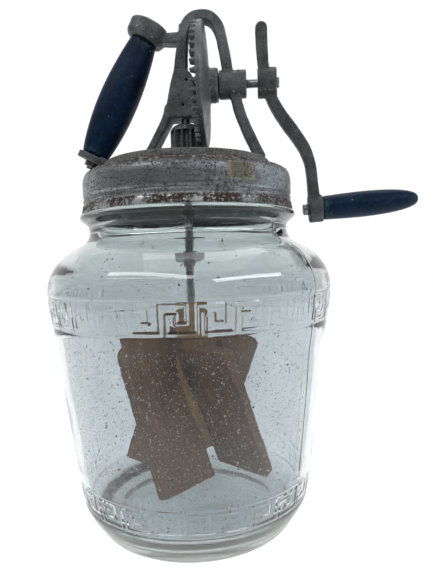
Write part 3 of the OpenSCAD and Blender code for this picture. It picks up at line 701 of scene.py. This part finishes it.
def specks():
    """Dried crumbs and dirt on the inside of the glass."""
    rng = np.random.default_rng(41)
    base = bmesh.new()
    bmesh.ops.create_icosphere(base, subdivisions=1, radius=1.0)
    bv = np.array([v.co[:] for v in base.verts])
    bf = [[v.index for v in f.verts] for f in base.faces]
    base.free()
    side = in_curve[(in_curve[:, 1] > 12) & (in_curve[:, 1] < 184) & (np.arange(len(in_curve)) > 3)]
    side = side[side[:, 1].argsort()]
    mats = []
    for nm, c1, c2 in (("specks_dark", (0.02, 0.02, 0.018), (0.07, 0.055, 0.04)), ("specks_pale", (0.50, 0.34, 0.20), (0.85, 0.80, 0.72))):
        m = Mat(nm + "_dirt")
        m.set(Base_Color=m.mix(m.noise(2.2, 4, 0.7), c1, c2), Roughness=0.8, Normal=m.bump(m.noise(0.4, 2), 0.05, 0.6))
        mats.append(m.m)
    for name, mat, count, size in (("specks_dark", mats[0], 4200, (0.13, 0.48)), ("specks_pale", mats[1], 9600, (0.13, 0.36))):
        V, F = [], []
        for k in range(count):
            z = 14 + (168 * rng.random() ** 0.85 if name == "specks_dark" or rng.random() < 0.2 else 112 * rng.random() ** 0.8)
            t = rng.random() * 2 * np.pi
            if name == "specks_pale" and rng.random() < 0.35:
                t = math.radians(-92 + 34 * rng.normal())
            r = np.interp(z, side[:, 1], side[:, 0]) - 0.75
            dr = (np.interp(z + 1, side[:, 1], side[:, 0]) - np.interp(z - 1, side[:, 1], side[:, 0])) / 2
            s = size[0] + (size[1] - size[0]) * rng.random() ** 2.2
            if name == "specks_dark" and k % 4 == 0:
                z = 11.6 + 3.4 * rng.random() ** 2
                t = math.radians(150 + 42 * rng.normal())
                r = np.interp(z, side[:, 1], side[:, 0]) - 0.6
                s *= 1.25
            if rng.random() < 0.05:
                s *= 1.7
            er = np.array([np.cos(t), np.sin(t), -dr])
            er /= np.linalg.norm(er)
            et = np.array([-np.sin(t), np.cos(t), 0])
            ez = np.cross(er, et)
            jig = 1 + 0.35 * (rng.random((len(bv), 1)) - 0.5)
            q = bv * jig * s * np.array([0.6, 0.7 + 0.6 * rng.random(), 0.7 + 0.8 * rng.random()])
            w = q[:, :1] * er + q[:, 1:2] * et + q[:, 2:] * ez + np.array([r * np.cos(t), r * np.sin(t), z])
            o = len(V)
            V.extend(w.tolist())
            F.extend([[o + a for a in f] for f in bf])
        ob = add_object(name, V, F)
        ob.data.materials.append(mat)
        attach(ob, "jar")


specks()

# ------------------------------------------------------------------ lid
lid_prof_out = [[69.0, 204.2], [68.9, 205.4], [68.6, 206.8], [68.35, 208.4], [67.9, 209.2], [67.15, 209.9], [67.75, 210.6], [68.1, 211.3],
    [67.8, 212.0], [66.95, 212.8], [67.6, 213.5], [67.95, 214.4], [68, 218], [68, 222], [67.7, 224.8], [66.9, 227.2], [65.3, 229.2],
    [62.4, 230.25], [59.4, 230.7], [57.2, 231.3], [55.8, 232.6], [54.9, 234.6], [54.2, 235.9], [53, 236.42], [51, 236.5],
    [48.5, 236.3], [46.5, 236.32], [44, 236.5], [25, 236.5], [5.1, 236.5]]


def lid():
    o = curve_pts(lid_prof_out, 1.2)
    d = np.gradient(o, axis=0)
    d /= np.linalg.norm(d, axis=1)[:, None]
    inner = o + np.stack([-d[:, 1], d[:, 0]], 1) * 0.8
    inner[:, 0] = np.maximum(inner[:, 0], 5.1)
    inner[-1] = (5.1, 235.7)
    curl = [[68.75, 203.95], [68.3, 203.9]]
    prof = np.vstack([curl[::-1], o, inner[::-1]])

    def dent(V):
        r = np.hypot(V[:, 0], V[:, 1])
        out = sstep(20, 60, r)
        n = 0.22 * fbm(V * (1, 1, 0.6), 21.0, 12, 2) - 0.2
        low = 0.25 * sstep(211, 206, V[:, 2]) * fbm(V, 9.0, 15, 2)
        f = 1 + out * (n + low - 0.02) / np.maximum(r, 1)
        W = V.copy()
        W[:, 0] *= f
        W[:, 1] *= f
        W[:, 2] += np.where((r > 12) & (V[:, 2] > 229), 0.16 * (fbm(V, 19.0, 21, 2) - 0.6) * sstep(12, 30, r) * sstep(0, 1, np.abs(np.abs(V[:, 0]) - 37) / 12) , 0)
        return W
    ob = lathe("lid_tin", prof, 320, dent)
    ob.data.materials.append(M_TIN)
    bm = bmesh.new()
    bm.from_mesh(ob.data)
    bmesh.ops.recalc_face_normals(bm, faces=bm.faces)
    bm.to_mesh(ob.data)
    bm.free()
    ob.data.shade_smooth()
    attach(ob, "head")
    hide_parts("lid_shell")


lid()

# ------------------------------------------------------------------ castings
cast_copy("frame_casting", ["frame"], 0.42, 16, "head", M_IRON, fine=0.07, coarse=0.2, seed=1, bores=True, shape=lambda co, no: np.full(len(co), 0.26))
cast_copy("grip_strap", ["lower_bracket"], 0.38, 8, "head", M_IRON, fine=0.05, coarse=0.1, seed=2)
cast_copy("gear_casting", ["drive_gear"], 0.34, 4, "drive", M_GEAR, fine=0.05, coarse=0.06, seed=3)
cast_copy("pinion_casting", ["pinion"], 0.3, 4, "dasher", M_GEAR, fine=0.04, coarse=0.04, seed=4)
cast_copy("crank_casting", ["crank_arm"], 0.36, 18, "drive", M_ARM, fine=0.06, coarse=0.18, seed=5, shape=lambda co, no: np.where(np.abs(co[:, 1]) < 3.5, 0.42, 0.15))

# ------------------------------------------------------------------ grips
glo, ghi = np.array([-62, 0, 244.6]), np.array([-26, 0, 317.5])
gv = ghi - glo
glen = np.linalg.norm(gv)
ga = math.atan2(gv[0], gv[2])


def place(ob, origin, tilt):
    """Turns a piece made about Z onto an axis in the XZ plane, in its mesh."""
    M = Matrix.Translation(Vector(np.array(origin) * MM)) @ Matrix.Rotation(tilt, 4, "Y")
    ob.data.transform(M)


def grip():
    pts = [[2.45, 0.15], [8.0, 0.15]]
    for i in range(33):
        u = i / 32
        b = math.sin(math.pi * u ** 0.92) ** 0.85 if 0 < u < 1 else 0
        pts.append([8.7 + (13 - 8.7) * b - 0.1, 0.35 + u * (glen - 0.7)])
    pts += [[8.0, glen - 0.15], [2.45, glen - 0.15]]
    p = np.array(pts)

    def uneven(V):
        r = np.hypot(V[:, 0], V[:, 1])
        k = np.where(r > 6, 1 + (0.12 * fbm(V * (1, 1, 0.4), 11.0, 31, 2) - 0.12) / np.maximum(r, 1), 1)
        W = V.copy()
        W[:, :2] *= k[:, None]
        return W
    ob = lathe("grip_wood", p, 96, uneven)
    place(ob, glo, ga)
    ax = gv / glen
    c = float(glo @ ax)

    def along(m):
        x, y, z = m.axes()
        return m.math("SUBTRACT", m.math("ADD", m.math("MULTIPLY", x, float(ax[0])), m.math("MULTIPLY", z, float(ax[2]))), c)
    ob.data.materials.append(painted("navy_paint_grip", 0.0, glen, along, 2.0))
    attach(ob, "head")
    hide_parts("side_grip")


def handle():
    hl, L, R = 4.5, 61.5, 8.4
    out = [[R - 1.3, hl], [R - 0.75, hl + 0.7], [R - 0.45, hl + 6], [R - 0.12, hl + 16], [R - 0.02, hl + L * 0.42], [R - 0.3, hl + L * 0.58],
        [R - 0.9, hl + L * 0.72], [R - 2, hl + L * 0.84], [R - 3.3, hl + L * 0.92], [R - 4.6, hl + L * 0.965], [R - 6.2, hl + L * 0.99], [0.5, hl + L]]
    o = curve_pts(out, 1.3)
    o[:, 1] = np.minimum(o[:, 1], hl + L - 0.06)
    p = np.vstack([[[2.28, hl]], o, [[0.5, hl + L - 4]], [[2.28, hl + L - 12]]])

    def uneven(V):
        r = np.hypot(V[:, 0], V[:, 1])
        k = np.where(r > 4, 1 + (0.1 * fbm(V * (1, 1, 0.4), 10.0, 33, 2) - 0.1) / np.maximum(r, 1), 1)
        W = V.copy()
        W[:, :2] *= k[:, None]
        return W
    ob = lathe("crank_knob", p, 80, uneven)
    piv = np.array([84, 0, 204.5])
    t = math.radians(90 - 4)
    place(ob, piv, t)
    ax = np.array([math.sin(t), 0, math.cos(t)])
    c = float(piv @ ax)

    def along(m):
        x, y, z = m.axes()
        return m.math("SUBTRACT", m.math("ADD", m.math("MULTIPLY", x, float(ax[0])), m.math("MULTIPLY", z, float(ax[2]))), c)
    ob.data.materials.append(painted("navy_paint_knob", hl, hl + L, along, 5.0))
    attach(ob, "handle")
    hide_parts("crank_handle")


grip()
handle()

# ------------------------------------------------------------------ dasher
TURN, LEAN = -37.9, 24.4


def board_rot(k):
    """Euler angles that turn row coordinates into board k's own."""
    R = Matrix.Rotation(math.radians(TURN + 90 * k), 3, "Z") @ Matrix.Rotation(math.radians(LEAN), 3, "X")
    return tuple(R.inverted().to_euler("XYZ")), np.array(R.inverted())


for k in range(4):
    rot, R = board_rot(k)
    mat = board_wood(f"paddle_wood_{k + 1}", rot, seed=1.0 + k, tone=(1.0, 0.94, 1.05, 1.0)[k])

    def grain(co, no, R=R, k=k):
        q = (co - (0, 0, 76)) @ R.T
        g = fbm(q * (1, 1, 0.06), 1.6, 50 + k, 3)
        w = fbm(q * (1, 1, 0.3), 22.0, 60 + k, 1)
        return 0.07 * g + 0.15 * (w - 0.6)
    cast_copy(f"board_{k + 1}", [f"paddle_{k + 1}"], 0.75, 3, "dasher", mat, fine=0.0, coarse=0.0, seed=40 + k, shape=grain)
rot0, R0 = (0, 0, math.radians(-TURN)), None
cast_copy("hub_wood", ["dasher_hub"], 0.6, 2, "dasher", board_wood("hub_grain", rot0, seed=6.0, tone=2.1, hub=True), fine=0.04, coarse=0.1, seed=47)

# ------------------------------------------------------------------ small steel pieces keep their CAD shape with worn edges
for n, mat, w in (("lid_bush", M_STEEL, 0.2), ("lid_rivets", M_STEEL, 0.2), ("grip_rod", M_STEEL, 0.25), ("grip_nut", M_STEEL, 0.45),
                  ("crank_shaft", M_STEEL, 0.3), ("gear_pin", M_STEEL, 0.3), ("handle_pin", M_STEEL, 0.3), ("pinion_pin", M_STEEL, 0.25),
                  ("dasher_rod", M_ROD, 0.3), ("splash_disc", M_NAIL, 0.2), ("hub_pin", M_STEEL, 0.25), ("paddle_nails", M_NAIL, 0.2)):
    o = NODE[n]
    o.data.materials.clear()
    o.data.materials.append(mat)
    wd = o.modifiers.new("weld", "WELD")
    wd.merge_threshold = 2e-6
    b = o.modifiers.new("edge", "BEVEL")
    b.width = w * MM
    b.segments = 2
    b.limit_method = "ANGLE"
    b.angle_limit = math.radians(40)
rub = Mat("gasket_rubber_old")
rub.set(Base_Color=rub.mix(rub.span(rub.noise(3.0, 5, 0.7), 0.35, 0.65), (0.06, 0.045, 0.035), (0.13, 0.10, 0.08)), Roughness=0.75,
        Normal=rub.bump(rub.noise(0.6, 3), 0.08, 0.6))
NODE["gasket"].data.materials.clear()
NODE["gasket"].data.materials.append(rub.m)
gb = NODE["gasket"].modifiers.new("edge", "BEVEL")
gb.width, gb.segments = 0.4 * MM, 2
gb.limit_method, gb.angle_limit = "ANGLE", math.radians(40)

# ------------------------------------------------------------------ stage, light and camera
n = 96
ring = [(math.cos(2 * math.pi * i / n), math.sin(2 * math.pi * i / n)) for i in range(n)]
V, F = [(0, 0, -0.25)], []
radii = (60, 140, 300, 700, 1500, 3200)
for r in radii:
    V += [(r * a, r * b, -0.25) for a, b in ring]
for i in range(n):
    F.append((0, 1 + i, 1 + (i + 1) % n))
for k in range(len(radii) - 1):
    for i in range(n):
        a, b = 1 + k * n, 1 + (k + 1) * n
        F.append((a + i, b + i, b + (i + 1) % n, a + (i + 1) % n))
floor = add_object("floor", V, F)
fm = Mat("floor_paper")
# painted light: the floor glows, from nothing near the camera to full around the churn, clearing the churn's shadow and
# brightening it from below
fm.set(Base_Color=fm.mix(fm.span(fm.axes()[1], -420.0, -70.0), (0.52, 0.52, 0.52), fm.mix(fm.noise(60.0, 3), (0.90, 0.90, 0.895), (0.93, 0.93, 0.925))), Roughness=0.9, Emission_Color=(1.0, 1.0, 1.0), Emission_Strength=fm.span(fm.axes()[1], -330.0, -60.0, 0.0, 0.6))
floor.data.materials.append(fm.m)

world = bpy.data.worlds.new("studio")
bpy.context.scene.world = world
world.use_nodes = True
wt = world.node_tree
wt.nodes.clear()
wo = wt.nodes.new("ShaderNodeOutputWorld")
bg = wt.nodes.new("ShaderNodeBackground")
tc = wt.nodes.new("ShaderNodeTexCoord")
sx = wt.nodes.new("ShaderNodeSeparateXYZ")
mr = wt.nodes.new("ShaderNodeMapRange")
mr.interpolation_type = "SMOOTHSTEP"
mr.inputs["From Min"].default_value = -0.3
mr.inputs["From Max"].default_value = 0.78
mr.inputs["To Min"].default_value = 0.0
mr.inputs["To Max"].default_value = 1.0
cr = wt.nodes.new("ShaderNodeValToRGB")
cr.color_ramp.elements[0].position, cr.color_ramp.elements[0].color = 0.0, (0.085, 0.09, 0.095, 1)
cr.color_ramp.elements[1].position, cr.color_ramp.elements[1].color = 1.0, (1.0, 1.0, 1.0, 1)
wt.links.new(tc.outputs["Generated"], sx.inputs[0])
wt.links.new(sx.outputs[1], mr.inputs["Value"])
wt.links.new(mr.outputs[0], cr.inputs[0])
wt.links.new(cr.outputs[0], bg.inputs[0])
bg.inputs[1].default_value = 1.02
wt.links.new(bg.outputs[0], wo.inputs[0])


def area(name, loc, target, size, power, color=(1, 1, 1)):
    d = bpy.data.lights.new(name, "AREA")
    d.shape = "RECTANGLE"
    d.size, d.size_y = size
    d.energy = power
    d.color = color
    o = bpy.data.objects.new(name, d)
    bpy.context.scene.collection.objects.link(o)
    o.location = loc
    o.rotation_euler = (Vector(target) - Vector(loc)).to_track_quat("-Z", "Y").to_euler()
    return o


area("key_soft", (-0.45, -0.80, 1.05), (0, 0, 0.2), (1.5, 0.16), 6.0, (1.0, 0.985, 0.97))
area("fill_soft", (0.85, -0.60, 0.75), (0, 0, 0.18), (1.2, 0.16), 5.0, (0.95, 0.98, 1.0))
area("top_soft", (0.05, 0.25, 1.2), (0, 0, 0.2), (0.9, 0.9), 3.5)

cam_d = bpy.data.cameras.new("camera")
cam_d.lens = 31.196
cam_d.sensor_width = 36.0
cam_d.clip_start = 0.01
cam = bpy.data.objects.new("camera", cam_d)
bpy.context.scene.collection.objects.link(cam)
yaw, pitch, roll = math.radians(-3.856), math.radians(3.279), math.radians(-1.616)
fw = Vector((math.sin(yaw) * math.cos(pitch), math.cos(yaw) * math.cos(pitch), -math.sin(pitch)))
rt = Vector((math.cos(yaw), -math.sin(yaw), 0))
upv = rt.cross(fw)
rt2 = math.cos(roll) * rt + math.sin(roll) * upv
up2 = -math.sin(roll) * rt + math.cos(roll) * upv
cm = Matrix((rt2, up2, -fw)).transposed().to_4x4()
cm.translation = Vector((0.0399, -0.3349, 0.1728))
cam.matrix_world = cm
sc = bpy.context.scene
sc.camera = cam
sc.view_settings.view_transform = "Standard"
sc.view_settings.look = "None"
